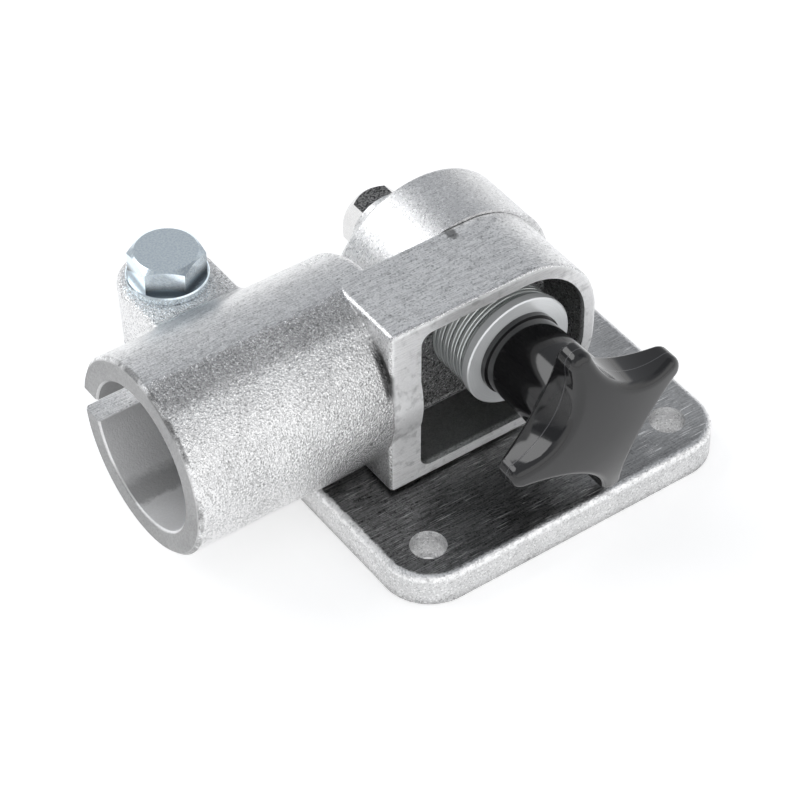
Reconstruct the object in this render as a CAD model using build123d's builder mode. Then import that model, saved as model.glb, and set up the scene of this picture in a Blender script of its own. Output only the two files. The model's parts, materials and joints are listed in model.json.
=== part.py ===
"""Profile pivot joint: a plate with a lug, and a tube socket that swivels on it.

The frame has its origin in the middle of the plate's underside, +Z up.  The tube
socket lies along X and opens towards -X.  The pivot axis lies along Y, with the
star knob at the front (-Y) and the bolt's hexagon head at the back (+Y).
All lengths are in millimetres.
"""
from build123d import *
import math
import os

os.makedirs("parts", exist_ok=True)

# ---- driving dimensions -------------------------------------------------------
# base plate
PLATE_SIDE = 75.5
PLATE_THICK = 7.3
PLATE_CORNER_R = 10.0
PLATE_TOP_ROUND = 1.4
PLATE_FOOT_CHAMFER = 0.4
MOUNT_HOLE_D = 7.2
MOUNT_HOLE_PITCH = 57.3

# pivot and the lug that stands on the plate
PIVOT_X = 3.2
PIVOT_Z = 28.0
SEAM_Y = 4.0
SEAM_GAP = 0.15
LUG_R = 20.6
LUG_THICK = 15.5
LUG_ROOT_R = 2.2
LUG_EDGE_R = 0.9
BOSS_D = 15.5
BOSS_LENGTH = 11.0
BOSS_ROOT_R = 1.2

# swivelling casting
HOUSING_LEFT = 30.2
HOUSING_HALF_HEIGHT = 19.9
HOUSING_DEPTH = 18.45
HOUSING_END_R = 17.5
HOUSING_REACH = 17.9
HOUSING_EDGE_R = 0.9
POCKET_DEPTH = 12.95
POCKET_WALL = 2.9
POCKET_STRIP = 6.8
POCKET_CORNER_R = 2.6
POCKET_FLOOR_R = 0.8
SOCKET_OUTER_R = 20.0
SOCKET_BORE_R = 15.0
SOCKET_OPEN_X = -70.2
SOCKET_END_X = -19.0
SOCKET_END_ROUND = 2.5
SOCKET_NECK = 7.0
SOCKET_NECK_SINK = 0.8
SOCKET_LIP_CHAMFER = 0.7
BORE_LIP_CHAMFER = 0.4
BORE_DEPTH = 43.0
SLIT_WIDTH = 5.6
SLIT_LENGTH = 40.0
EAR_X = -46.4
EAR_REACH = 26.8
EAR_R = 9.8
EAR_HALF_HEIGHT = 12.25
EAR_DRAFT = 2.5
EAR_EDGE_R = 1.1
EAR_ROOT_R = 2.5
EAR_GAP = 1.2
CLAMP_HOLE_D = 9.0

# M8 fasteners
THREAD_D = 8.0
HEX_ACROSS_FLATS = 13.0
HEX_BEVEL_D = 12.2
HEAD_HEIGHT = 5.3
HEAD_BEVEL = 0.6
PIVOT_HEAD_BEVEL = 1.4
NUT_HEIGHT = 6.5
NUT_BEVEL = 0.55
BOLT_TIP_CHAMFER = 1.0
PIVOT_BOLT_LENGTH = 60.0
CLAMP_BOLT_LENGTH = 35.0
PIVOT_HEAD_TURN = 10.0
CLAMP_HEAD_TURN = 25.0
WASHER_D = 16.0
WASHER_BORE_D = 8.4
WASHER_THICK = 1.6
WASHER_EDGE = 0.25

# spring pack and pressure washer
DISC_COUNT = 10
DISC_D = 23.0
DISC_BORE_D = 8.2
DISC_THICK = 0.8
DISC_CONE = 0.2
DISC_EDGE_R = 0.25
PRESSURE_WASHER_D = 24.0
PRESSURE_WASHER_THICK = 2.0

# star knob
KNOB_R = 20.0
KNOB_HEIGHT = 27.7
KNOB_LOBES = 4
KNOB_TURN = 14.2
KNOB_VALLEY_R = 10.2
KNOB_HOLLOW_R = 16.2
KNOB_TIP_R = 2.5
KNOB_CROWN_DROP = 3.4
KNOB_LOBE_REAR = 16.0
KNOB_LOBE_DROOP = 3.7
KNOB_FRONT_ROUND = 2.0
KNOB_REAR_ROUND = 0.8
HUB_BASE_R = 8.5
HUB_TOP_R = 8.9
HUB_COLLAR_R = 8.9
HUB_COLLAR_HEIGHT = 1.1
HUB_ROOT_R = 0.8
INSERT_D = 12.0
INSERT_LENGTH = 14.0
INSERT_EDGE = 0.4

# named clearances
RUNNING_CLEARANCE = 0.08
THREAD_CLEARANCE = 0.05
SEAT_GAP = 0.03
KNOB_BLIND_CLEARANCE = 3.5
KNOB_BORE_CLEARANCE = 0.4
INSERT_FIT = 0.01

# how close an edge lies to a place to be picked, and how far a trimming outline
# passes the piece that it trims
PICK = 0.01
OVERSHOOT = 1.0

# ---- places worked out from them ----------------------------------------------
LUG_FRONT_Y = SEAM_Y + SEAM_GAP
LUG_BACK_Y = LUG_FRONT_Y + LUG_THICK
BOSS_END_Y = LUG_BACK_Y + BOSS_LENGTH
HOUSING_FRONT_Y = SEAM_Y - HOUSING_DEPTH
FLOOR_Y = HOUSING_FRONT_Y + POCKET_DEPTH
DISC_HEIGHT = DISC_THICK + DISC_CONE
PACK_FRONT_Y = FLOOR_Y - DISC_COUNT * DISC_HEIGHT
WASHER_BACK_Y = PACK_FRONT_Y - SEAT_GAP
WASHER_FRONT_Y = WASHER_BACK_Y - PRESSURE_WASHER_THICK
KNOB_BASE_Y = WASHER_FRONT_Y - SEAT_GAP
KNOB_APEX_Y = KNOB_BASE_Y - KNOB_HEIGHT
BOLT_TIP_Y = BOSS_END_Y - PIVOT_BOLT_LENGTH
EAR_Y = SEAM_Y + EAR_REACH
EAR_TOP_Z = PIVOT_Z + EAR_HALF_HEIGHT
EAR_FOOT_Z = PIVOT_Z - EAR_HALF_HEIGHT
HEX_CORNER_R = HEX_ACROSS_FLATS / 2 / math.cos(math.radians(30))
PIVOT_AXIS = Axis((PIVOT_X, 0, PIVOT_Z), (0, 1, 0))


def across(y):
    """A plane square to the pivot axis at y, centred on the axis, facing the knob."""
    return Plane(origin=(PIVOT_X, y, PIVOT_Z), x_dir=(1, 0, 0), z_dir=(0, -1, 0))


def over_ear(z):
    """A level plane at z, centred on the clamp bolt's axis."""
    return Plane(origin=(EAR_X, EAR_Y, z))


def finish_piece(builder, name):
    """Label the piece and write it to its own file."""
    builder.part.label = name
    export_step(builder.part, f"parts/{name}.step")


def circles(builder, radius):
    """The circular edges of that radius."""
    round_edges = builder.edges().filter_by(GeomType.CIRCLE)
    return round_edges.filter_by(lambda e: abs(e.radius - radius) < PICK)


# ---- base plate: a casting of the plate, the lug and the boss behind it ---------
with BuildPart() as base_plate:
    with BuildSketch(Plane.XY):
        RectangleRounded(PLATE_SIDE, PLATE_SIDE, PLATE_CORNER_R)
    extrude(amount=PLATE_THICK)
    fillet(base_plate.faces().sort_by(Axis.Z)[-1].edges(), PLATE_TOP_ROUND)
    chamfer(base_plate.faces().sort_by(Axis.Z)[0].edges(), PLATE_FOOT_CHAMFER)

    with BuildSketch(across(LUG_BACK_Y)):
        Circle(LUG_R)
        with Locations((0, (PLATE_THICK - PIVOT_Z) / 2)):
            Rectangle(2 * LUG_R, PIVOT_Z - PLATE_THICK)
    extrude(amount=LUG_THICK)
    fillet(circles(base_plate, LUG_R).sort_by(Axis.Y)[-1], LUG_EDGE_R)
    roots = base_plate.edges().filter_by(GeomType.LINE)
    roots = roots.filter_by(lambda e: abs(e.center().Z - PLATE_THICK) < PICK)
    roots = roots.filter_by(lambda e: abs(e.center().X - PIVOT_X) < LUG_R + PICK)
    roots = roots.filter_by(lambda e: e.center().Y > LUG_FRONT_Y + PICK)
    fillet(roots, LUG_ROOT_R)

    with BuildSketch(across(BOSS_END_Y)):
        Circle(BOSS_D / 2)
    extrude(amount=BOSS_LENGTH)
    fillet(circles(base_plate, BOSS_D / 2).sort_by(Axis.Y)[0], BOSS_ROOT_R)

    with BuildSketch(across(BOSS_END_Y)):
        Circle(THREAD_D / 2 + RUNNING_CLEARANCE)
    extrude(amount=BOSS_LENGTH + LUG_THICK, mode=Mode.SUBTRACT)
    with BuildSketch(Plane.XY):
        with GridLocations(MOUNT_HOLE_PITCH, MOUNT_HOLE_PITCH, 2, 2):
            Circle(MOUNT_HOLE_D / 2)
    extrude(amount=PLATE_THICK, mode=Mode.SUBTRACT)
finish_piece(base_plate, "base_plate")

# The sand core that leaves the pocket for the spring pack, rounded at its floor.
POCKET_LEFT = POCKET_STRIP - HOUSING_LEFT
POCKET_RIGHT = HOUSING_REACH - POCKET_WALL
with BuildPart() as pocket_core:
    with BuildSketch(across(FLOOR_Y)) as pocket_outline:
        with Locations(((POCKET_LEFT + POCKET_RIGHT) / 2, 0)):
            Rectangle(POCKET_RIGHT - POCKET_LEFT, 2 * (HOUSING_HALF_HEIGHT - POCKET_WALL))
        fillet(pocket_outline.vertices().group_by(Axis.X)[-1], HOUSING_END_R - POCKET_WALL)
        fillet(pocket_outline.vertices().group_by(Axis.X)[0], POCKET_CORNER_R)
    extrude(amount=POCKET_DEPTH + SOCKET_OUTER_R)
    fillet(pocket_core.faces().sort_by(Axis.Y)[-1].edges(), POCKET_FLOOR_R)

# The socket's cylinder, rounded at its blind end and cut back to the pocket's wall.
with BuildPart() as socket_blank:
    with BuildSketch(Plane.YZ.offset(SOCKET_OPEN_X)):
        with Locations((SEAM_Y, PIVOT_Z)):
            Circle(SOCKET_OUTER_R)
    extrude(amount=SOCKET_END_X - SOCKET_OPEN_X)
    fillet(circles(socket_blank, SOCKET_OUTER_R).sort_by(Axis.X)[-1], SOCKET_END_ROUND)
    chamfer(circles(socket_blank, SOCKET_OUTER_R).sort_by(Axis.X)[0], SOCKET_LIP_CHAMFER)
    with BuildSketch(across(FLOOR_Y)):
        with Locations((POCKET_LEFT + SOCKET_OUTER_R, 0)):
            Rectangle(2 * SOCKET_OUTER_R, 2 * (SOCKET_OUTER_R + OVERSHOOT))
    extrude(amount=2 * SOCKET_OUTER_R, mode=Mode.SUBTRACT)

# What the socket loses at its front where it sinks into the wall beside the pocket.
HOUSING_LEFT_X = PIVOT_X - HOUSING_LEFT
with BuildPart() as neck_space:
    with BuildSketch(Plane.YZ.offset(HOUSING_LEFT_X - SOCKET_NECK)):
        with Locations((SEAM_Y - SOCKET_OUTER_R, PIVOT_Z)):
            Rectangle(2 * SOCKET_OUTER_R, 3 * SOCKET_OUTER_R)
    extrude(amount=SOCKET_NECK + POCKET_STRIP + OVERSHOOT)
    with BuildSketch(Plane.YZ.offset(HOUSING_LEFT_X - SOCKET_NECK)):
        with Locations((SEAM_Y, PIVOT_Z)):
            Circle(SOCKET_OUTER_R)
    with BuildSketch(Plane.YZ.offset(HOUSING_LEFT_X + POCKET_STRIP + OVERSHOOT)):
        with Locations((SEAM_Y + SOCKET_NECK_SINK, PIVOT_Z)):
            Circle(SOCKET_OUTER_R)
    loft(mode=Mode.SUBTRACT)

# ---- swivel clamp: housing with its pocket, tube socket, slit and clamping ear --
with BuildPart() as swivel_clamp:
    with BuildSketch(across(SEAM_Y)) as housing_outline:
        with Locations(((HOUSING_REACH - HOUSING_LEFT) / 2, 0)):
            Rectangle(HOUSING_LEFT + HOUSING_REACH, 2 * HOUSING_HALF_HEIGHT)
        fillet(housing_outline.vertices().group_by(Axis.X)[-1], HOUSING_END_R)
    extrude(amount=HOUSING_DEPTH)
    outer_edges = swivel_clamp.edges().filter_by(lambda e: e.center().Y < SEAM_Y - PICK)
    fillet(outer_edges, HOUSING_EDGE_R)
    add(pocket_core.part, mode=Mode.SUBTRACT)

    add(socket_blank.part - neck_space.part)
    with BuildSketch(over_ear(EAR_TOP_Z)):
        Circle(EAR_R)
        with Locations((0, -EAR_REACH / 2)):
            Rectangle(2 * EAR_R, EAR_REACH)
    extrude(amount=-2 * EAR_HALF_HEIGHT, taper=EAR_DRAFT)
    ear_caps = swivel_clamp.faces().filter_by(Axis.Z)
    ear_caps = ear_caps.filter_by(lambda f: abs(abs(f.center().Z - PIVOT_Z) - EAR_HALF_HEIGHT) < PICK)
    tube_side_y = SEAM_Y + math.sqrt(SOCKET_OUTER_R**2 - EAR_HALF_HEIGHT**2)
    fillet(ear_caps.edges().filter_by(lambda e: e.center().Y > tube_side_y + PICK), EAR_EDGE_R)
    ear_roots = swivel_clamp.edges().filter_by(GeomType.BSPLINE)
    ear_roots = ear_roots.filter_by(lambda e: e.length > EAR_R and e.center().Y > SEAM_Y + EAR_R)
    fillet(ear_roots, EAR_ROOT_R)

    with BuildSketch(Plane.YZ.offset(SOCKET_OPEN_X)):
        with Locations((SEAM_Y, PIVOT_Z)):
            Circle(SOCKET_BORE_R)
    extrude(amount=BORE_DEPTH, mode=Mode.SUBTRACT)
    chamfer(circles(swivel_clamp, SOCKET_BORE_R).sort_by(Axis.X)[0], BORE_LIP_CHAMFER)

    with BuildSketch(Plane.YZ.offset(SOCKET_OPEN_X)):
        with Locations((SEAM_Y + SOCKET_OUTER_R / 2, PIVOT_Z)):
            Rectangle(SOCKET_OUTER_R, SLIT_WIDTH)
        with Locations((EAR_Y, PIVOT_Z - (SLIT_WIDTH - EAR_GAP) / 2)):
            Rectangle(2 * EAR_REACH, EAR_GAP)
    extrude(amount=SLIT_LENGTH, mode=Mode.SUBTRACT)

    with BuildSketch(over_ear(EAR_FOOT_Z)):
        Circle(CLAMP_HOLE_D / 2)
    extrude(amount=2 * EAR_HALF_HEIGHT, mode=Mode.SUBTRACT)

    with BuildSketch(across(SEAM_Y)):
        Circle(THREAD_D / 2 + RUNNING_CLEARANCE)
    extrude(amount=SEAM_Y - FLOOR_Y, mode=Mode.SUBTRACT)
finish_piece(swivel_clamp, "swivel_clamp")


# ---- M8 bolts, nut and washers ---------------------------------------------------
def hexagon(origin, axis, turn, height, near_bevel, far_bevel):
    """A hexagon standing on origin along axis, its corners turned off at the ends."""
    seat = Plane(origin=origin, x_dir=(1, 0, 0), z_dir=axis)
    section = Plane(origin=origin, x_dir=(1, 0, 0), z_dir=seat.y_dir * -1)
    bevel_r = HEX_BEVEL_D / 2
    beyond = HEX_CORNER_R + OVERSHOOT
    with BuildPart() as blank:
        with BuildSketch(seat):
            RegularPolygon(HEX_CORNER_R, 6, rotation=turn)
        extrude(amount=height)
        with BuildSketch(section):
            with BuildLine():
                Polyline(
                    (0, 0),
                    (bevel_r, 0),
                    (beyond, near_bevel * (beyond - bevel_r)),
                    (beyond, height - far_bevel * (beyond - bevel_r)),
                    (bevel_r, height),
                    (0, height),
                    close=True,
                )
            make_face()
        revolve(axis=Axis(seat.origin, seat.z_dir), mode=Mode.INTERSECT)
    return blank.part


with BuildPart() as pivot_bolt:
    head_seat = (PIVOT_X, BOSS_END_Y, PIVOT_Z)
    add(hexagon(head_seat, (0, 1, 0), -PIVOT_HEAD_TURN, HEAD_HEIGHT, 0, PIVOT_HEAD_BEVEL))
    with BuildSketch(across(BOSS_END_Y)):
        Circle(THREAD_D / 2)
    extrude(amount=PIVOT_BOLT_LENGTH)
    chamfer(pivot_bolt.edges().sort_by(Axis.Y)[0], BOLT_TIP_CHAMFER)
finish_piece(pivot_bolt, "pivot_bolt")

with BuildPart() as clamp_bolt:
    seat_z = EAR_TOP_Z + WASHER_THICK
    add(hexagon((EAR_X, EAR_Y, seat_z), (0, 0, 1), CLAMP_HEAD_TURN, HEAD_HEIGHT, 0, HEAD_BEVEL))
    with BuildSketch(over_ear(seat_z)):
        Circle(THREAD_D / 2)
    extrude(amount=-CLAMP_BOLT_LENGTH)
    chamfer(clamp_bolt.edges().sort_by(Axis.Z)[0], BOLT_TIP_CHAMFER)
finish_piece(clamp_bolt, "clamp_bolt")


def washer(origin, axis, bore_d, outer_d, thick):
    """A flat washer lying on origin and built up along axis, its outer edges broken."""
    with BuildPart() as blank:
        with BuildSketch(Plane(origin=origin, x_dir=(1, 0, 0), z_dir=axis)):
            Circle(outer_d / 2)
            Circle(bore_d / 2, mode=Mode.SUBTRACT)
        extrude(amount=thick)
        chamfer(circles(blank, outer_d / 2), WASHER_EDGE)
    return blank.part


with BuildPart() as clamp_washer_top:
    add(washer((EAR_X, EAR_Y, EAR_TOP_Z), (0, 0, 1), WASHER_BORE_D, WASHER_D, WASHER_THICK))
finish_piece(clamp_washer_top, "clamp_washer_top")

with BuildPart() as clamp_washer_bottom:
    add(washer((EAR_X, EAR_Y, EAR_FOOT_Z), (0, 0, -1), WASHER_BORE_D, WASHER_D, WASHER_THICK))
finish_piece(clamp_washer_bottom, "clamp_washer_bottom")

with BuildPart() as clamp_nut:
    nut_z = EAR_FOOT_Z - WASHER_THICK - NUT_HEIGHT
    add(hexagon((EAR_X, EAR_Y, nut_z), (0, 0, 1), CLAMP_HEAD_TURN, NUT_HEIGHT, NUT_BEVEL, NUT_BEVEL))
    with BuildSketch(over_ear(nut_z)):
        Circle(THREAD_D / 2 + THREAD_CLEARANCE)
    extrude(amount=NUT_HEIGHT, mode=Mode.SUBTRACT)
finish_piece(clamp_nut, "clamp_nut")

# ---- spring pack: opposed disc springs on the pivot bolt, and the washer on them --
for number in range(DISC_COUNT):
    inner_low = FLOOR_Y - (number + 1) * DISC_HEIGHT
    outer_low = inner_low
    if number % 2 == 0:
        outer_low += DISC_CONE
    else:
        inner_low += DISC_CONE
    with BuildPart() as disc_spring:
        with BuildSketch(Plane(origin=(PIVOT_X, 0, PIVOT_Z))) as disc_section:
            with BuildLine():
                Polyline(
                    (DISC_BORE_D / 2, inner_low),
                    (DISC_D / 2, outer_low),
                    (DISC_D / 2, outer_low + DISC_THICK),
                    (DISC_BORE_D / 2, inner_low + DISC_THICK),
                    close=True,
                )
            make_face()
            fillet(disc_section.vertices().group_by(Axis.X)[-1], DISC_EDGE_R)
        revolve(axis=PIVOT_AXIS)
    finish_piece(disc_spring, f"disc_spring_{number + 1:02d}")

with BuildPart() as pressure_washer:
    add(
        washer(
            (PIVOT_X, WASHER_FRONT_Y, PIVOT_Z),
            (0, 1, 0),
            WASHER_BORE_D,
            PRESSURE_WASHER_D,
            PRESSURE_WASHER_THICK,
        )
    )
finish_piece(pressure_washer, "pressure_washer")

# ---- star knob: a moulded hub and four-lobed head round a threaded insert ----------
STAR_REAR_Y = KNOB_BASE_Y - KNOB_LOBE_REAR
CROWN_R = (KNOB_R**2 + KNOB_CROWN_DROP**2) / (2 * KNOB_CROWN_DROP)
DROOP_R = (KNOB_R**2 + KNOB_LOBE_DROOP**2) / (2 * KNOB_LOBE_DROOP)
VALLEY_TURN = KNOB_TURN + 180 / KNOB_LOBES
RIM_R = KNOB_R + OVERSHOOT
RIM_FRONT_Y = KNOB_APEX_Y + CROWN_R - math.sqrt(CROWN_R**2 - RIM_R**2)


def star_rear(radius):
    """The y of the head's domed rear face at that radius."""
    return STAR_REAR_Y - DROOP_R + math.sqrt(DROOP_R**2 - radius**2)


with BuildPart() as knob_body:
    with BuildSketch(across(STAR_REAR_Y)) as star:
        Circle(KNOB_R)
        with PolarLocations(KNOB_VALLEY_R + KNOB_HOLLOW_R, KNOB_LOBES, start_angle=VALLEY_TURN):
            Circle(KNOB_HOLLOW_R, mode=Mode.SUBTRACT)
        fillet(star.vertices(), KNOB_TIP_R)
    extrude(amount=KNOB_HEIGHT)
    with BuildSketch(Plane(origin=(PIVOT_X, 0, PIVOT_Z))):
        with BuildLine():
            Line((0, KNOB_APEX_Y), (0, STAR_REAR_Y))
            RadiusArc((0, STAR_REAR_Y), (RIM_R, star_rear(RIM_R)), DROOP_R)
            Line((RIM_R, star_rear(RIM_R)), (RIM_R, RIM_FRONT_Y))
            RadiusArc((RIM_R, RIM_FRONT_Y), (0, KNOB_APEX_Y), CROWN_R)
        make_face()
    revolve(axis=PIVOT_AXIS, mode=Mode.INTERSECT)
    fillet(knob_body.faces().sort_by(Axis.Y)[0].edges(), KNOB_FRONT_ROUND)
    fillet(knob_body.faces().sort_by(Axis.Y)[-1].edges(), KNOB_REAR_ROUND)

    root_r = HUB_TOP_R + HUB_ROOT_R
    root_y = star_rear(root_r)
    with BuildSketch(Plane(origin=(PIVOT_X, 0, PIVOT_Z))):
        with BuildLine():
            Polyline(
                (0, KNOB_BASE_Y),
                (HUB_COLLAR_R, KNOB_BASE_Y),
                (HUB_COLLAR_R, KNOB_BASE_Y - HUB_COLLAR_HEIGHT),
                (HUB_BASE_R, KNOB_BASE_Y - HUB_COLLAR_HEIGHT),
                (HUB_TOP_R, root_y + HUB_ROOT_R),
            )
            RadiusArc((HUB_TOP_R, root_y + HUB_ROOT_R), (root_r, root_y), HUB_ROOT_R)
            Polyline(
                (root_r, root_y),
                (HUB_BASE_R, root_y - HUB_ROOT_R),
                (0, root_y - HUB_ROOT_R),
                (0, KNOB_BASE_Y),
            )
        make_face()
    revolve(axis=PIVOT_AXIS)

    with BuildSketch(across(KNOB_BASE_Y)):
        Circle(INSERT_D / 2 + INSERT_FIT)
    extrude(amount=INSERT_LENGTH, mode=Mode.SUBTRACT)
    with BuildSketch(across(KNOB_BASE_Y)):
        Circle(THREAD_D / 2 + KNOB_BORE_CLEARANCE)
    extrude(amount=KNOB_BASE_Y - BOLT_TIP_Y + KNOB_BLIND_CLEARANCE, mode=Mode.SUBTRACT)
finish_piece(knob_body, "knob_body")

with BuildPart() as knob_insert:
    with BuildSketch(across(KNOB_BASE_Y)):
        Circle(INSERT_D / 2)
        Circle(THREAD_D / 2 + THREAD_CLEARANCE, mode=Mode.SUBTRACT)
    extrude(amount=INSERT_LENGTH)
    chamfer(circles(knob_insert, INSERT_D / 2).sort_by(Axis.Y)[0], INSERT_EDGE)
finish_piece(knob_insert, "knob_insert")
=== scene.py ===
"""Profile pivot joint: cast and plated finishes, a rolled thread, a pack of disc springs."""
import json
import math

import bmesh
import bpy
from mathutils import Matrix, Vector

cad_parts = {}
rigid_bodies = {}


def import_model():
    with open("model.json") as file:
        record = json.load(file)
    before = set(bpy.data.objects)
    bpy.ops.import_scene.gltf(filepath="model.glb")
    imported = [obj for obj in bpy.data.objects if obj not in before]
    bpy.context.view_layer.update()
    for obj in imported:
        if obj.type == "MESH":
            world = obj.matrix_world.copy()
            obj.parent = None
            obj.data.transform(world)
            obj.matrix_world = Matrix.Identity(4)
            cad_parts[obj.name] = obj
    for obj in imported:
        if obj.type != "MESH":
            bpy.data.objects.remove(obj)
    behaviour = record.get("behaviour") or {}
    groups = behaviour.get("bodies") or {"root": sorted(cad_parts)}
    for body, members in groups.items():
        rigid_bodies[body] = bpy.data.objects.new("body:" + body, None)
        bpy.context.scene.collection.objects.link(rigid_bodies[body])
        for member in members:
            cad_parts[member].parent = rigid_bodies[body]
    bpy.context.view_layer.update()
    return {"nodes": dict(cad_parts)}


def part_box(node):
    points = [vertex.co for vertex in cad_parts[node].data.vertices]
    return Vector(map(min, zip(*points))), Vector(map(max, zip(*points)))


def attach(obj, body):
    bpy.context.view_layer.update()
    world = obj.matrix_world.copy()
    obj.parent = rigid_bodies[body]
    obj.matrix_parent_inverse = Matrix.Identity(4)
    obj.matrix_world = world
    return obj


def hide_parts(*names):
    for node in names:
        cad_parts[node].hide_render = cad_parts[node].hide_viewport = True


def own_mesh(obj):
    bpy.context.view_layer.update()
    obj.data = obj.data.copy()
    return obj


for stray in list(bpy.data.objects):
    bpy.data.objects.remove(stray)
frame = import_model()


# ---- base plate ----------------------------------------------------------------
# One aluminium casting: the plate, the lug and the boss behind it.  The plate's top was
# dressed on a belt and has picked up scratches since, and its rounded rim carries a ragged
# painted highlight.  The lug's round back is dressed too, and the sides are as cast.
MM = 0.001
GRAINS_PER_MM = 3.6
PLATE_TOP_MM = 7.3
PLATE_CORNER_MM = 10.0
LUG_R_MM = 20.6
PIVOT_X_MM = 3.2
AXIS_Z_MM = 28.0
ALUMINIUM = (0.995, 0.996, 1.0)


class Tone:
    """A socket in a finish; an expression on tones adds its Math nodes to the tree."""

    def __init__(self, tree, socket=None):
        self.tree = tree
        self.socket = socket

    def node(self, kind, settings, sockets, output=0):
        """Add a node, set it up, fill or link its sockets, and give back one output."""
        made = self.tree.nodes.new("ShaderNode" + kind)
        for name, value in settings.items():
            setattr(made, name, value)
        for name, value in sockets.items():
            if isinstance(value, Tone):
                self.tree.links.new(value.socket, made.inputs[name])
            else:
                made.inputs[name].default_value = value
        return Tone(self.tree, made.outputs[output])

    def math(self, operation, first, second):
        return self.node("Math", {"operation": operation}, {0: first, 1: second})

    def __add__(self, other):
        return self.math("ADD", self, other)

    def __radd__(self, other):
        return self.math("ADD", other, self)

    def __sub__(self, other):
        return self.math("SUBTRACT", self, other)

    def __rsub__(self, other):
        return self.math("SUBTRACT", other, self)

    def __mul__(self, other):
        return self.math("MULTIPLY", self, other)

    def __rmul__(self, other):
        return self.math("MULTIPLY", other, self)

    def size(self):
        """The value without its sign."""
        return self.node("Math", {"operation": "ABSOLUTE"}, {0: self})

    def at_least(self, low):
        """The value, or low where it is less; low may be a tone as well."""
        return self.math("MAXIMUM", self, low)

    def rise(self, low, high):
        """A smooth step from 0 at low to 1 at high."""
        smooth = {"interpolation_type": "SMOOTHSTEP"}
        return self.node("MapRange", smooth, {"Value": self, "From Min": low, "From Max": high})

    def fall(self, low, high):
        """A smooth step from 1 at low to 0 at high."""
        return 1 - self.rise(low, high)

    def into(self, other, share):
        """This value where share is 0, the other where it is 1."""
        return self + (other - self) * share


class Finish:
    """A material on one piece's own place, in millimetres, and on the way it faces."""

    def __init__(self, name, metallic=1.0):
        self.material = bpy.data.materials.new(name)
        self.material.use_nodes = True
        self.shader = self.material.node_tree.nodes["Principled BSDF"]
        self.shader.inputs["Metallic"].default_value = metallic
        self.tone = Tone(self.material.node_tree)
        metres = self.tone.node("TexCoord", {}, {}, "Object")
        self.place = self.stretched(metres, (1 / MM, 1 / MM, 1 / MM))
        self.x = self.part(self.place, "X")
        self.y = self.part(self.place, "Y")
        self.z = self.part(self.place, "Z")
        facing = self.tone.node("TexCoord", {}, {}, "Normal")
        self.backward = self.part(facing, "Y")
        self.upward = self.part(facing, "Z")

    def part(self, vector, axis):
        """One of a vector's three numbers."""
        return self.tone.node("SeparateXYZ", {}, {0: vector}, axis)

    def stretched(self, vector, by):
        """A vector with each of its numbers multiplied by its own factor."""
        return self.tone.node("VectorMath", {"operation": "MULTIPLY"}, {0: vector, 1: by})

    def noise(self, per_mm, detail, by=(1, 1, 1)):
        """Soft noise from 0 to 1, with that many features to the millimetre."""
        where = self.stretched(self.place, by)
        sockets = {"Vector": where, "Scale": per_mm, "Detail": detail}
        return self.tone.node("TexNoise", {}, sockets)

    def grains(self, per_mm):
        """A random value from 0 to 1 for each grain."""
        sockets = {"Vector": self.place, "Scale": per_mm}
        return self.part(self.tone.node("TexVoronoi", {}, sockets, "Color"), "X")

    def grit(self, per_mm):
        """Speckle from 0 to 1, mostly near either end."""
        return self.noise(per_mm, 1.5).rise(0.36, 0.64)

    def rings(self, radius, per_mm):
        """Turning marks: noise that changes with the radius alone."""
        line = {"noise_dimensions": "1D"}
        return self.tone.node("TexNoise", line, {"W": radius, "Scale": per_mm}).rise(0.3, 0.7)

    def from_axis(self, across, up):
        """How far the surface lies from an axis, given the two distances square to it."""
        return self.tone.math("POWER", across * across + up * up, 0.5)

    def blend(self, share, low, high):
        """A colour from low, where share is 0, to high, where it is 1."""
        sockets = {0: share, 6: low, 7: high}
        return self.tone.node("Mix", {"data_type": "RGBA"}, sockets, 2)

    def grey(self, light, tint):
        """A colour of that lightness, tinted."""
        parts = {"Red": light * tint[0], "Green": light * tint[1], "Blue": light * tint[2]}
        return self.tone.node("CombineColor", {}, parts)

    def feed(self, name, tone):
        """Let a tone drive one of the shader's sockets."""
        self.tone.tree.links.new(tone.socket, self.shader.inputs[name])

    def raise_grain(self, height, depth_mm):
        """Bump the surface by height, where 1 stands depth_mm proud."""
        sockets = {"Strength": 1.0, "Distance": depth_mm * MM, "Height": height}
        self.feed("Normal", self.tone.node("Bump", {}, sockets))

    def onto(self, node):
        """Give this finish to a node of the frame."""
        for place in frame["nodes"][node].material_slots:
            place.material = self.material


class Casting(Finish):
    """Cast aluminium: crystal grains, a blasted skin, bright and dark flakes, and clouds."""

    def __init__(self, name, skin_per_mm, clouds_per_mm, ragged_per_mm):
        super().__init__(name)
        self.grain = self.grains(GRAINS_PER_MM)
        self.flakes = self.grain.rise(0.86, 0.92) - self.grain.fall(0.06, 0.12)
        self.fine = self.grit(GRAINS_PER_MM)
        self.skin = self.noise(skin_per_mm, 3.0).rise(0.30, 0.70)
        self.clouds = self.noise(clouds_per_mm, 2.0).rise(0.35, 0.65)
        self.ragged = self.noise(ragged_per_mm, 3.0) - 0.5

    def speckled(self, light, grain, skin, flakes):
        """A lightness with given amounts of the casting's grain, skin and flakes in it."""
        return light + grain * self.grain + skin * self.skin + flakes * self.flakes


base = Casting("cast_base_plate", skin_per_mm=2.6, clouds_per_mm=0.11, ragged_per_mm=0.9)
above_top = base.z - PLATE_TOP_MM

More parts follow.
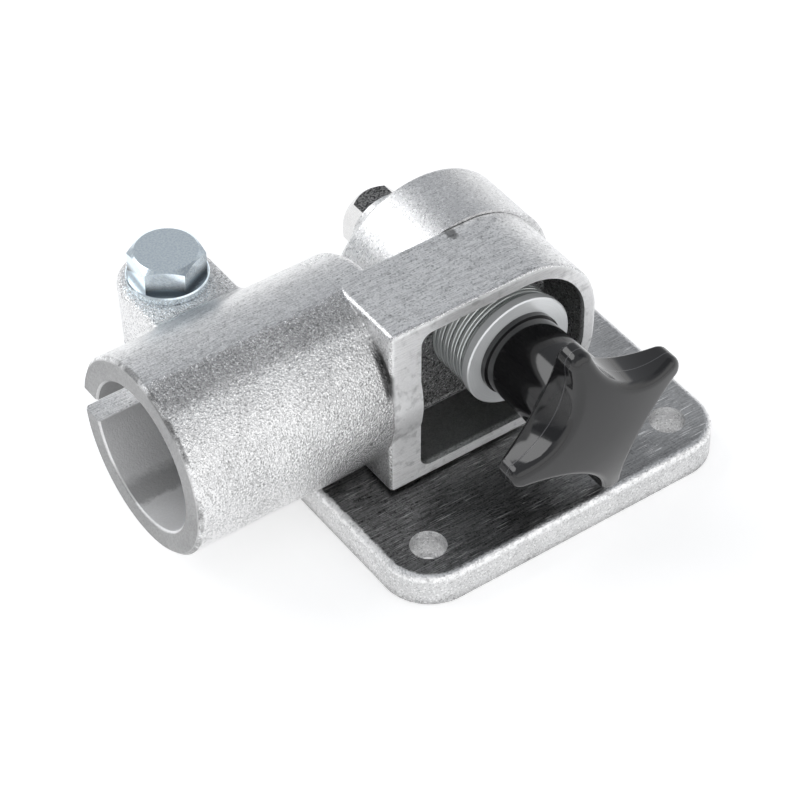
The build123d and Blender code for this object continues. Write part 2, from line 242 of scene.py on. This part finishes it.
# The belt's marks run along X, and so do most scratches; a few cross them at a slant.
belt_marks = base.noise(1.0, 3.0, (0.30, 4.2, 4.2)).rise(0.34, 0.66)
scratches = base.noise(1.0, 1.0, (0.20, 5.0, 1.0)).rise(0.62, 0.70)
scratches = scratches * base.noise(0.14, 2.0).rise(0.42, 0.56)
slant = 0.9 * base.x + 2.6 * base.y
slanted = base.tone.node("TexNoise", {"noise_dimensions": "1D"}, {"W": slant, "Scale": 1.3})
slanted = slanted.rise(0.66, 0.72) * base.noise(0.16, 1.0).rise(0.54, 0.62)

# The dressed top ends a ragged millimetre or so inside the plate's rounded outline.
corner_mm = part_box("base_plate")[1][0] / MM - PLATE_CORNER_MM
past_x = (base.x.size() - corner_mm).at_least(0.0)
past_y = (base.y.size() - corner_mm).at_least(0.0)
inset = PLATE_CORNER_MM - base.from_axis(past_x, past_y) + 1.2 * base.ragged
on_top = above_top.fall(0.6, 1.6) * base.upward.rise(0.90, 0.99)
belt = on_top * inset.rise(1.0, 1.5)
# Painted reflection: the dressed top is lighter towards the lug at the back right, darker at the
# front left.
reflection_towards_lug = (base.x + 0.7 * base.y).rise(-34.0, 22.0)
# Painted highlight along the plate's rounded top rim.
rim_highlight = above_top.rise(-1.6, -0.9) * above_top.fall(0.5, 1.0)
# Painted shade: the plate's sides darken towards the floor.
shade_near_floor = base.z.fall(0.4, 2.4)

round_pivot = base.from_axis(base.x - PIVOT_X_MM, base.z - AXIS_Z_MM)
lug_skin = (round_pivot - LUG_R_MM).rise(-0.5, -0.2) * above_top.rise(2, 4)
lug_marks = base.noise(1.0, 3.0, (1.2, 5.0, 1.2)).rise(0.30, 0.70)

cast = base.speckled(0.54, grain=0.12, skin=0.14, flakes=0.14) + 0.08 * base.clouds
cast = cast + 0.22 * rim_highlight * base.ragged.rise(-0.15, 0.05) - 0.22 * shade_near_floor
lug = 0.60 + 0.14 * lug_marks + 0.12 * base.grain + 0.06 * base.clouds + 0.14 * base.flakes
belted = 0.07 + 0.32 * reflection_towards_lug + 0.14 * belt_marks + 0.45 * scratches + 0.30 * slanted
belted = belted + 0.06 * base.grain + 0.06 * base.clouds + 0.06 * base.flakes
base.feed("Base Color", base.grey(cast.into(lug, lug_skin).into(belted, belt), ALUMINIUM))
rough = 0.37 + 0.14 * base.ragged - 0.06 * base.grain
rough = rough.into(0.26 + 0.10 * lug_marks, lug_skin)
base.feed("Roughness", rough.into(0.30 + 0.10 * belt_marks, belt))
pits = 0.7 * base.skin + 0.3 * base.fine
pits = pits.into(0.3 * lug_marks + 0.3 * base.fine, lug_skin)
base.raise_grain(pits.into(0.4 * belt_marks + 0.5 * scratches, belt), depth_mm=0.06)
base.onto("base_plate")

# ---- swivel clamp --------------------------------------------------------------
# The second aluminium casting: the housing with its spring pocket, the split socket and
# the clamping ear.  The socket keeps a coarse sparkling skin, but its crown and the
# housing's outside are dressed along X; the front rim and the socket's end are machined.
AXIS_Y_MM = 4.0
BORE_R_MM = 15.0
SOCKET_R_MM = 20.0
HOUSING_LEFT_MM = -27.0
HOUSING_REACH_MM = 17.9
FRONT_RIM_MM = -14.45
POCKET_FLOOR_MM = -1.5
# Where a patch of painted shade sits on the housing, next to the lug.
LUG_SEAM_SHADE_MM = (-0.9, 2.8)
clamp = Casting("cast_swivel_clamp", skin_per_mm=2.5, clouds_per_mm=0.09, ragged_per_mm=0.8)
along = clamp.noise(1.0, 3.0, (0.30, 4.2, 2.0)).rise(0.34, 0.66)
stains = clamp.noise(0.5, 4.0).rise(0.50, 0.72)

# How far the surface lies from the clamp's own places, in millimetres.
above = clamp.z - AXIS_Z_MM
round_socket = clamp.from_axis(clamp.y - AXIS_Y_MM, above)
past_skin = round_socket - SOCKET_R_MM
past_left = clamp.x - HOUSING_LEFT_MM
from_end = clamp.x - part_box("swivel_clamp")[0][0] / MM
behind_rim = clamp.y - FRONT_RIM_MM
round_pivot = clamp.from_axis((clamp.x - PIVOT_X_MM).at_least(0.0), above)

# The socket's faces: its dressed crown, the bore, and the ring at its open end.
on_socket = past_left.fall(-0.4, 0.2)
near_socket = on_socket * past_skin.fall(0.4, 1.4)
crown = near_socket * (clamp.backward + 0.16 * clamp.ragged).rise(-0.20, -0.10)
crown = crown * clamp.upward.rise(0.10, 0.40)
bore = on_socket * (round_socket - BORE_R_MM).fall(0.1, 0.4)
end_face = from_end.fall(0.1, 0.3)

# The housing's faces: its outside, its machined front rim, and the pocket, as cast and
# painted dark as shade.
on_housing = 1 - on_socket
outside = on_housing * clamp.backward.size().fall(0.3, 0.6)
rim = on_housing * clamp.backward.fall(-0.9, -0.7) * behind_rim.fall(0.3, 1.0)
inside = on_housing * behind_rim.rise(0.6, 1.6) * (clamp.y - POCKET_FLOOR_MM).fall(0.1, 0.4)
inside = inside * (round_pivot - HOUSING_REACH_MM).fall(-0.5, 0.0) * past_left.rise(1, 2)
brushed = clamp.noise(1.0, 3.0, (0.30, 1.0, 5.0)).rise(0.30, 0.70)
brushed = brushed * (above.rise(4, 14) + above.fall(-15, -6))

# Painted shade: on the lip of the open end, in the crease beside the housing, in a band along
# the top of the socket's front, and in one patch where the housing meets the lug.
lip_shade = from_end.fall(0.6, 1.2) * past_skin.rise(-0.8, -0.4)
lip_shade = lip_shade * clamp.noise(0.25, 2.0).rise(0.40, 0.60)
crease_shade = (past_left + 0.3).size().fall(0.5, 1.4) * clamp.backward.fall(-0.1, 0.2)
crease_shade = crease_shade * (past_skin + 1.6 * clamp.ragged).fall(0.5, 1.3)
crease_shade = crease_shade * above.rise(4, 7) * above.fall(12.5, 16.5)
dark_band_shade = near_socket * (1 - crown) * (clamp.backward + 0.1 * clamp.ragged).rise(-0.56, -0.40)
lug_seam_x, lug_seam_y = LUG_SEAM_SHADE_MM
from_lug_seam = clamp.from_axis(clamp.x - lug_seam_x, 0.7 * (clamp.y - lug_seam_y))
lug_seam_shade = outside * (from_lug_seam + 1.6 * clamp.ragged).fall(0.7, 1.5)

blasted = clamp.speckled(0.52, grain=0.20, skin=0.26, flakes=0.22) + 0.12 * clamp.clouds
satin_crown = clamp.speckled(0.56, grain=0.16, skin=0.12, flakes=0.14)
satin_crown = satin_crown + 0.24 * along - 0.10 * stains
dressed = clamp.speckled(0.54, grain=0.18, skin=0.12, flakes=0.18)
dressed = dressed + 0.30 * along - 0.14 * stains
machined = 0.82 + 0.20 * brushed + 0.08 * clamp.grain - 0.26 * stains
machined = machined * (1 - 0.30 * above.rise(13.5, 17.5) * past_left.rise(7, 15))
# Painted shade in the pocket: its cast walls are painted dark, the faces looking up a little
# less.
pocket_bottom_shaded = 0.20 + 0.06 * clamp.skin + 0.05 * clamp.grain
pocket_shaded = clamp.speckled(0.13, grain=0.24, skin=0.20, flakes=0.20)
pocket_shaded = pocket_shaded.into(pocket_bottom_shaded, clamp.upward.rise(0.6, 0.9))
ring = 0.42 + 0.08 * clamp.clouds + 0.12 * clamp.grain + 0.12 * clamp.skin
# Painted shade: the bore darkens towards its top.
bore_shaded_above = 0.92 - 0.40 * above.rise(-11, 5) + 0.06 * clamp.grain
light = blasted.into(satin_crown, crown).into(dressed, outside).into(machined, rim)
light = light.into(pocket_shaded, inside).into(ring, end_face).into(bore_shaded_above, bore)
# The painted shade of the lip, the lug seam, the crease and the band darkens the colour here.
light = light * (1 - 0.6 * lip_shade) * (1 - 0.65 * lug_seam_shade) * (1 - 0.85 * crease_shade) * (1 - 0.40 * dark_band_shade)
clamp.feed("Base Color", clamp.grey(light, ALUMINIUM))
rough = (0.22 + 0.10 * clamp.ragged).into(0.28 + 0.08 * along, crown)
rough = rough.into(0.30 + 0.08 * along, outside).into(0.34 + 0.06 * clamp.fine, rim)
rough = rough.into(0.42 + 0.10 * clamp.fine, end_face).into(0.40 + 0.08 * clamp.fine, bore)
clamp.feed("Roughness", rough)
clamp.feed("Metallic", 1 - 0.65 * rim.at_least(0.6 * bore))
combed = 0.08 * along + 0.16 * clamp.fine
pits = (0.75 * clamp.skin + 0.25 * clamp.fine).into(combed, crown)
pits = pits.into(combed, outside).into(0.2 * brushed, rim)
clamp.raise_grain(pits * (1 - 0.85 * end_face.at_least(bore)), depth_mm=0.14)
clamp.onto("swivel_clamp")

# ---- pivot bolt ----------------------------------------------------------------
# An M8 hexagon bolt of forged steel, zinc plated.  Only its head shows, behind the boss:
# the flat on top is painted dark as shade and speckled with grit, and the other flats are
# painted bright for the light on them.
WARM_ZINC = (0.99, 0.985, 0.98)
pivot = Finish("zinc_pivot_bolt")
grit = pivot.grit(2.6)
# Painted shade on the top flat, painted light on the other flats.
shaded_top_flat = pivot.upward.rise(0.86, 0.94)
lit_flats = 0.66 + 0.14 * pivot.noise(0.5, 3.0)
pivot.feed("Base Color", pivot.grey(lit_flats.into(0.05 + 0.22 * grit, shaded_top_flat), WARM_ZINC))
pivot.feed("Roughness", (0.24 + 0.06 * grit).into(0.34 + 0.10 * grit, shaded_top_flat))
pivot.raise_grain(grit * shaded_top_flat, depth_mm=0.04)
pivot.onto("pivot_bolt")

# ---- clamp bolt, its washers and its nut ---------------------------------------
# Bright zinc plated M8 parts with the bluish bloom of the passivation, and a bolt head
# with painted shade low on its sides.  The bolt's thread is rolled up to the head: its profile
# is spun up the shank in a helix and cut off level at the tip and under the head.
HEAD_OVERLAP_MM = 0.02
TIP_CHAMFER_MM = 1.0
THREAD_R_MM = 4.0
ROOT_R_MM = 3.35
PITCH_MM = 1.25
TURN_STEPS = 48
THREAD_PROFILE = ((0.0, ROOT_R_MM), (0.08, ROOT_R_MM), (0.44, THREAD_R_MM),
                  (0.56, THREAD_R_MM), (0.92, ROOT_R_MM), (1.0, ROOT_R_MM))
SAME_POINT_MM = 0.001
TURN_SEAM_MM = 0.005
SHARP_EDGE = math.radians(25)
PALE_ZINC = (0.74, 0.83, 0.91, 1)
BRIGHT_ZINC = (0.88, 0.97, 1.0, 1)
SHADED_ZINC = (0.05, 0.06, 0.07, 1)


def merged(node):
    """A copy of a node's mesh, with its loose triangles joined into one skin."""
    skin = bmesh.new()
    skin.from_mesh(frame["nodes"][node].data)
    bmesh.ops.remove_doubles(skin, verts=skin.verts, dist=SAME_POINT_MM * MM)
    return skin


def cut_level(skin, height_mm, keep_above):
    """Cut a mesh off level and keep what is above the cut, or else what is below it."""
    bmesh.ops.bisect_plane(
        skin,
        geom=skin.verts[:] + skin.edges[:] + skin.faces[:],
        dist=SAME_POINT_MM * MM,
        plane_co=(0, 0, height_mm * MM),
        plane_no=(0, 0, 1),
        clear_inner=keep_above,
        clear_outer=not keep_above,
    )


def close_ends(skin):
    """Fill a mesh's open rims."""
    bmesh.ops.holes_fill(skin, edges=[edge for edge in skin.edges if edge.is_boundary])


def shade_between_edges(skin):
    """Shade a mesh smoothly, but break the shading at its sharp edges."""
    for edge in skin.edges:
        edge.smooth = edge.calc_face_angle(0.0) < SHARP_EDGE
    for face in skin.faces:
        face.smooth = True


def stand_in(name, skin, finish, node, body):
    """Make a mesh a finished piece that stands for a node and rides on its body."""
    data = bpy.data.meshes.new(name)
    skin.to_mesh(data)
    skin.free()
    data.materials.append(finish.material)
    piece = bpy.data.objects.new(name, data)
    bpy.context.scene.collection.objects.link(piece)
    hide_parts(node)
    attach(piece, body)
    return piece


bolt_low, bolt_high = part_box("clamp_bolt")
tip_mm = bolt_low[2] / MM
head_seat_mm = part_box("clamp_washer_top")[1][2] / MM
ear_axis = Vector(((bolt_low[0] + bolt_high[0]) / 2, (bolt_low[1] + bolt_high[1]) / 2, 0))

zinc = Finish("zinc_clamp_fasteners")
bloom = zinc.noise(2.5, 2.0)
above_seat = zinc.z - head_seat_mm
# Painted shade low on the bolt head's sides, just above the washer.
shade_low_on_head = (1 - zinc.upward.rise(0.30, 0.60)) * above_seat.rise(-0.3, 0.0)
shade_low_on_head = shade_low_on_head * above_seat.fall(0.3, 3.4)
plated = zinc.blend(bloom.rise(0.30, 0.70), PALE_ZINC, BRIGHT_ZINC)
zinc.feed("Base Color", zinc.blend(shade_low_on_head, plated, SHADED_ZINC))
zinc.feed("Roughness", 0.14 + 0.08 * bloom)
zinc.raise_grain(bloom, depth_mm=0.010)
for name in ("clamp_washer_top", "clamp_washer_bottom", "clamp_nut"):
    zinc.onto(name)

under_head_mm = head_seat_mm - HEAD_OVERLAP_MM
bolt = merged("clamp_bolt")
cut_level(bolt, under_head_mm, keep_above=True)
close_ends(bolt)
shade_between_edges(bolt)

thread = bmesh.new()
profile = []
for share, radius in THREAD_PROFILE:
    height = tip_mm - PITCH_MM * (1 - share)
    profile.append(thread.verts.new((ear_axis.x + radius * MM, ear_axis.y, height * MM)))
flanks = [thread.edges.new(pair) for pair in zip(profile, profile[1:])]
turns = math.ceil((head_seat_mm - tip_mm) / PITCH_MM) + 2
bmesh.ops.spin(
    thread,
    geom=profile + flanks,
    cent=ear_axis,
    axis=(0, 0, 1),
    dvec=(0, 0, PITCH_MM * MM / TURN_STEPS),
    angle=2 * math.pi * turns,
    steps=TURN_STEPS * turns,
    use_merge=False,
)
bmesh.ops.remove_doubles(thread, verts=thread.verts, dist=TURN_SEAM_MM * MM)
cut_level(thread, tip_mm, keep_above=True)
cut_level(thread, under_head_mm, keep_above=False)
close_ends(thread)
for vert in thread.verts:
    out = Vector((vert.co.x, vert.co.y, 0)) - ear_axis
    into_chamfer = (tip_mm + TIP_CHAMFER_MM) * MM - vert.co.z
    limit = THREAD_R_MM * MM - max(0.0, into_chamfer)
    if out.length > limit:
        out.length = limit
        vert.co.x = ear_axis.x + out.x
        vert.co.y = ear_axis.y + out.y
bmesh.ops.recalc_face_normals(thread, faces=thread.faces)
thread_data = bpy.data.meshes.new("clamp_bolt_thread")
thread.to_mesh(thread_data)
thread.free()
bolt.from_mesh(thread_data)
bpy.data.meshes.remove(thread_data)
stand_in("clamp_bolt_threaded", bolt, zinc, "clamp_bolt", "arm")

# ---- spring pack and pressure washer -------------------------------------------
# Ten disc springs of hardened steel, stacked in opposed pairs, with their rims painted bright
# as highlights and their cones painted dark as shade.
# The thick washer in front of them is polished and plated.
SPRINGS = 10
SPRING_EDGE_MM = 10.7
SPRING_STEEL_TINT = (0.96, 1.0, 0.99)
COLD_ZINC = (0.97, 0.99, 1.0)
spring = Finish("painted_light_spring_steel", metallic=0.65)
round_pivot = spring.from_axis(spring.x - PIVOT_X_MM, spring.z - AXIS_Z_MM)
rings = spring.rings(round_pivot, 5.0)
highlit_rim = (round_pivot - SPRING_EDGE_MM).rise(-0.15, 0.15)
# Painted highlight on the spring rims, painted shade on the cones between them.
rim_highlight_cone_shade = (0.03 + 0.03 * rings).into(0.92 + 0.08 * rings, highlit_rim)
spring.feed("Base Color", spring.grey(rim_highlight_cone_shade, SPRING_STEEL_TINT))
spring.feed("Roughness", (0.26 + 0.08 * rings).into(0.14 + 0.06 * rings, highlit_rim))
spring.raise_grain(rings, depth_mm=0.008)
for number in range(1, SPRINGS + 1):
    node = f"disc_spring_{number:02d}"
    disc_skin = merged(node)
    shade_between_edges(disc_skin)
    disc = stand_in(f"flexing_disc_{number:02d}", disc_skin, spring, node, "arm")
    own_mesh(disc)

seat = Finish("zinc_pressure_washer", metallic=0.35)
round_pivot = seat.from_axis(seat.x - PIVOT_X_MM, seat.z - AXIS_Z_MM)
rings = seat.rings(round_pivot, 4.0)
bloom = seat.noise(0.3, 2.0)
seat.feed("Base Color", seat.grey(0.92 + 0.04 * rings + 0.04 * bloom, COLD_ZINC))
seat.feed("Roughness", 0.16 + 0.06 * rings)
seat.raise_grain(rings, depth_mm=0.006)
seat.onto("pressure_washer")

# ---- star knob -----------------------------------------------------------------
# A hub and four lobes moulded in glossy black thermoplastic round a turned brass insert.
# The mould halves meet half way along the lobes and leave a fine witness ridge there, painted
# lighter as a highlight.  The facets that fan out from the crown's middle are joined, so that
# the gloss runs over it.
PARTING_MM = -35.5
CROWN_MIDDLE_MM = 0.01
PLASTIC_IOR = 1.6
BLACK_PLASTIC = (1.0, 0.98, 1.05)
DARK_BRASS = (0.60, 0.44, 0.17, 1)
PALE_BRASS = (0.80, 0.62, 0.30, 1)
knob = Finish("gloss_black_knob", metallic=0.0)
knob.shader.inputs["IOR"].default_value = PLASTIC_IOR
flow = knob.noise(0.08, 2.0)
peel = knob.noise(0.7, 2.0)
witness_ridge_and_highlight = (knob.y - PARTING_MM).size().fall(0.03, 0.16)
# The witness ridge is bumped as a ridge and painted lighter as a highlight.
knob.feed("Base Color", knob.grey(0.009 + 0.003 * flow + 0.06 * witness_ridge_and_highlight, BLACK_PLASTIC))
knob.feed("Roughness", 0.06 + 0.03 * flow + 0.02 * peel)
knob.raise_grain(0.05 * peel + 0.4 * witness_ridge_and_highlight, depth_mm=0.03)
star = merged("knob_body")
crown_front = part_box("knob_body")[0][1] + CROWN_MIDDLE_MM * MM
bmesh.ops.dissolve_verts(star, verts=[vert for vert in star.verts if vert.co.y < crown_front])
shade_between_edges(star)
stand_in("star_knob", star, knob, "knob_body", "knob")

brass = Finish("turned_brass_insert")
rings = brass.noise(1.0, 2.0, (0.2, 5.0, 0.2))
brass.feed("Base Color", brass.blend(rings, DARK_BRASS, PALE_BRASS))
brass.feed("Roughness", 0.28 + 0.12 * rings)
brass.onto("knob_insert")

# ---- studio --------------------------------------------------------------------
# A white sweep under a soft dome, which is brighter in front and shaded overhead, at the
# rear, low at the left rear, and by a flag above to the right.  A wide soft box hangs
# behind to the left.
FLOOR_HALF_M = 6.0
FLOOR_DROP_MM = 0.05
SWEEP_GREY = (0.8, 0.8, 0.8, 1)
SWEEP_GLOW = 0.5
WHITE = (1, 1, 1, 1)
COOL_SHADE = (0.93, 0.985, 1.07, 1)
FLAG_TOWARDS = (0.417, 0.0, 0.909)
DOME_SHADE = 0.52
FLAG_SHADE = 0.18
LOW_LEFT_SHADE = 0.75
FRONT_GAIN = 0.25
BOX_SIDES_M = (1.1, 0.6)
BOX_WATTS = 5.4
BOX_PLACE_M = (-0.52, 0.76, 0.92)
AZIMUTH = math.radians(-35.54)
ELEVATION = math.radians(44.11)
DISTANCE_M = 0.60818
AIM_M = (-0.0102, 0.0063, 0.0070)
LENS_MM = 139.7
SENSOR_MM = 36.0

paper = bpy.data.materials.new("white_sweep")
paper.use_nodes = True
paper_tone = Tone(paper.node_tree)
glow = 0.0
for ray in ("Is Camera Ray", "Is Glossy Ray", "Is Transmission Ray"):
    glow = glow + SWEEP_GLOW * paper_tone.node("LightPath", {}, {}, ray)
paper_shader = paper.node_tree.nodes["Principled BSDF"]
paper_shader.inputs["Base Color"].default_value = SWEEP_GREY
paper_shader.inputs["Roughness"].default_value = 1.0
paper_shader.inputs["Specular IOR Level"].default_value = 0.0
paper_shader.inputs["Emission Color"].default_value = WHITE
paper.node_tree.links.new(glow.socket, paper_shader.inputs["Emission Strength"])
floor_mesh = bmesh.new()
bmesh.ops.create_grid(floor_mesh, x_segments=1, y_segments=1, size=FLOOR_HALF_M)
bmesh.ops.translate(floor_mesh, vec=(0, 0, -FLOOR_DROP_MM * MM), verts=floor_mesh.verts)
floor_data = bpy.data.meshes.new("studio_floor")
floor_mesh.to_mesh(floor_data)
floor_mesh.free()
floor_data.materials.append(paper)
floor = bpy.data.objects.new("studio_floor", floor_data)
bpy.context.scene.collection.objects.link(floor)

world = bpy.data.worlds.new("studio_dome")
bpy.context.scene.world = world
world.use_nodes = True
sky = Tone(world.node_tree)
towards = sky.node("TexCoord", {}, {}, "Generated")
rightward, rearward, upward = (sky.node("SeparateXYZ", {}, {0: towards}, axis) for axis in "XYZ")
flag_sockets = {0: towards, 1: Vector(FLAG_TOWARDS).normalized()}
near_flag = sky.node("VectorMath", {"operation": "DOT_PRODUCT"}, flag_sockets, "Value")
in_front = rearward.fall(-0.60, -0.35)
overhead = upward.rise(0.30, 0.62) * (1 - in_front * upward.fall(0.74, 0.86))
at_rear = upward.rise(0.08, 0.22) * rearward.rise(-0.2, 0.4)
low_left = upward.rise(0.06, 0.14) * upward.fall(0.42, 0.50) * rightward.fall(-0.45, -0.25)
low_left = low_left * rearward.rise(0.0, 0.3)
shade = DOME_SHADE * overhead.at_least(at_rear) + FLAG_SHADE * near_flag.rise(0.905, 0.955)
shade = shade.at_least(LOW_LEFT_SHADE * low_left)
front_box = in_front * upward.rise(0.12, 0.25) * upward.fall(0.70, 0.80)
strength = 1 - shade + FRONT_GAIN * front_box
tint = sky.node("Mix", {"data_type": "RGBA"}, {0: shade, 6: WHITE, 7: COOL_SHADE}, 2)
background = world.node_tree.nodes["Background"]
world.node_tree.links.new(tint.socket, background.inputs["Color"])
world.node_tree.links.new(strength.socket, background.inputs["Strength"])

box_light = bpy.data.lights.new("rear_soft_box", "AREA")
box_light.shape = "RECTANGLE"
box_light.size, box_light.size_y = BOX_SIDES_M
box_light.energy = BOX_WATTS
soft_box = bpy.data.objects.new("rear_soft_box", box_light)
soft_box.location = BOX_PLACE_M
soft_box.rotation_euler = (-soft_box.location).to_track_quat("-Z", "Y").to_euler()
bpy.context.scene.collection.objects.link(soft_box)

back = Vector((
    math.sin(AZIMUTH) * math.cos(ELEVATION),
    -math.cos(AZIMUTH) * math.cos(ELEVATION),
    math.sin(ELEVATION),
))
camera_data = bpy.data.cameras.new("studio_camera")
camera_data.lens = LENS_MM
camera_data.sensor_width = SENSOR_MM
camera = bpy.data.objects.new("studio_camera", camera_data)
camera.location = Vector(AIM_M) + back * DISTANCE_M
camera.rotation_euler = (-back).to_track_quat("-Z", "Y").to_euler()
bpy.context.scene.collection.objects.link(camera)
bpy.context.scene.camera = camera
bpy.context.scene.view_settings.view_transform = "Standard"
